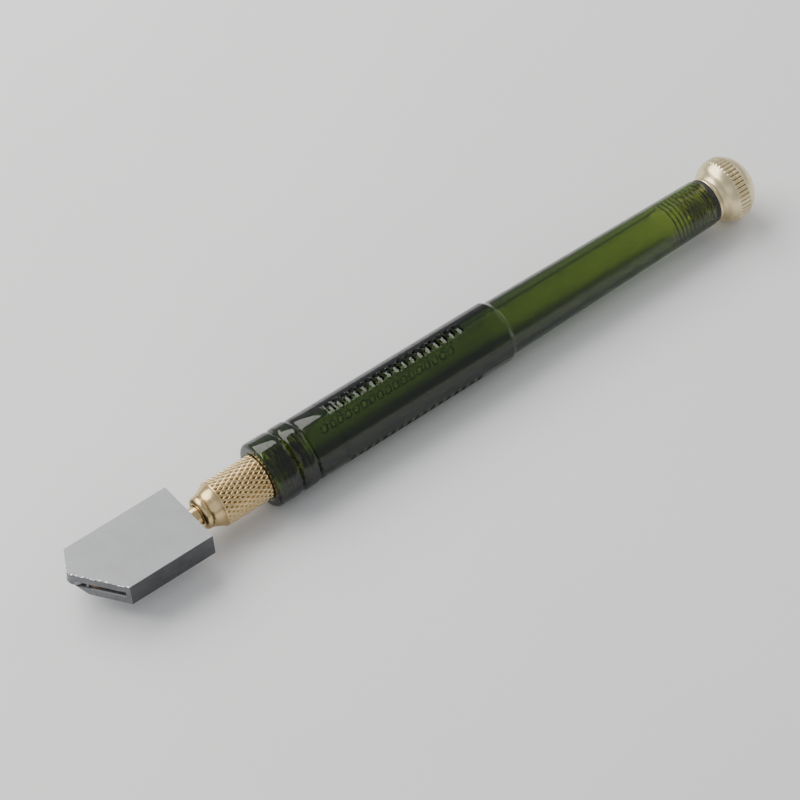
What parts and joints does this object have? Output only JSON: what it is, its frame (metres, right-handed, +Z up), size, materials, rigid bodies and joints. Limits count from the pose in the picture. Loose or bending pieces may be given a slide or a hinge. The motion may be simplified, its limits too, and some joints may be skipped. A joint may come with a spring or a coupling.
{
  "type": "oil-fed glass cutter",
  "caption": "Pencil-grip oil-fed glass cutter with a swivelling steel head, knurled brass nose, translucent green reservoir handle and brass ball knob.",
  "frame": {"origin": "on the floor below the middle of the tool's length, on the tool's own centre plane", "axes": "+X along the tool from the cutting wheel to the ball knob, +Y towards the head's side with the short bevel, +Z up through the head's flat top face"},
  "size_m": [0.1634, 0.0154, 0.0136],
  "materials": {
    "head_steel": "bead-blasted satin",
    "wheel_carbide": "ground",
    "pin_steel": "polished",
    "nose_brass": "turned satin",
    "knob_brass": "turned satin, pale",
    "black_rubber": "matte",
    "wick_felt": "oily felt",
    "green_acrylic": "translucent, polished"
  },
  "bodies": {
    "handle": {"handle": "green_acrylic"},
    "nose_carrier": {"collar_gasket": "black_rubber"},
    "nose": {"knurled_collar": "nose_brass", "nose_bush": "nose_brass", "spindle_seal": "black_rubber", "valve_seat": "nose_brass", "valve_seat_seal": "black_rubber", "valve_spring": "pin_steel", "spring_retainer": "nose_brass"},
    "ball": {"valve_ball": "pin_steel"},
    "spindle": {"spindle": "nose_brass", "spindle_stop_ring": "pin_steel"},
    "head": {"head_body": "head_steel", "wheel_axle": "pin_steel", "oil_wick": "wick_felt", "head_o_ring": "black_rubber", "spindle_clip": "pin_steel"},
    "wheel": {"cutting_wheel": "wheel_carbide"},
    "knob_carrier": {"cap_gasket": "black_rubber"},
    "knob": {"cap_knob": "knob_brass"}
  },
  "joints": [
    {"name": "nose_screw_out", "type": "slide", "parent": "handle", "child": "nose_carrier", "axis": [-1, 0, 0], "range_m": [0, 0.009]},
    {"name": "nose_turn", "type": "hinge", "parent": "nose_carrier", "child": "nose", "pos_m": [0, 0, 0.0068], "axis": [-1, 0, 0], "range_deg": [0, 3240.1]},
    {"name": "spindle_push", "type": "slide", "parent": "nose", "child": "spindle", "axis": [1, 0, 0], "range_m": [0, 0.0012], "stiffness_N_per_m": 400, "springref_m": -0.002},
    {"name": "ball_push", "type": "slide", "parent": "nose", "child": "ball", "axis": [1, 0, 0], "range_m": [0, 0.0012], "deforming": ["valve_spring"]},
    {"name": "head_swivel", "type": "hinge", "parent": "spindle", "child": "head", "pos_m": [-0.06175, 0, 0.0068], "axis": [1, 0, 0], "range_deg": [-12, 12]},
    {"name": "wheel_spin", "type": "hinge", "parent": "head", "child": "wheel", "pos_m": [-0.07975, 0.0026, 0.0068], "axis": [0, 0, 1], "continuous": true},
    {"name": "knob_screw_out", "type": "slide", "parent": "handle", "child": "knob_carrier", "axis": [1, 0, 0], "range_m": [0, 0.007]},
    {"name": "knob_turn", "type": "hinge", "parent": "knob_carrier", "child": "knob", "pos_m": [0.07625, 0, 0.0068], "axis": [1, 0, 0], "range_deg": [0, 2520.1]}
  ],
  "couplings": [
    {"joint": "nose_turn", "follows": "nose_screw_out", "rad_per_m": 6283.2},
    {"joint": "knob_turn", "follows": "knob_screw_out", "rad_per_m": 6283.2},
    {"joint": "ball_push", "follows": "spindle_push", "ratio": 1}
  ]
}
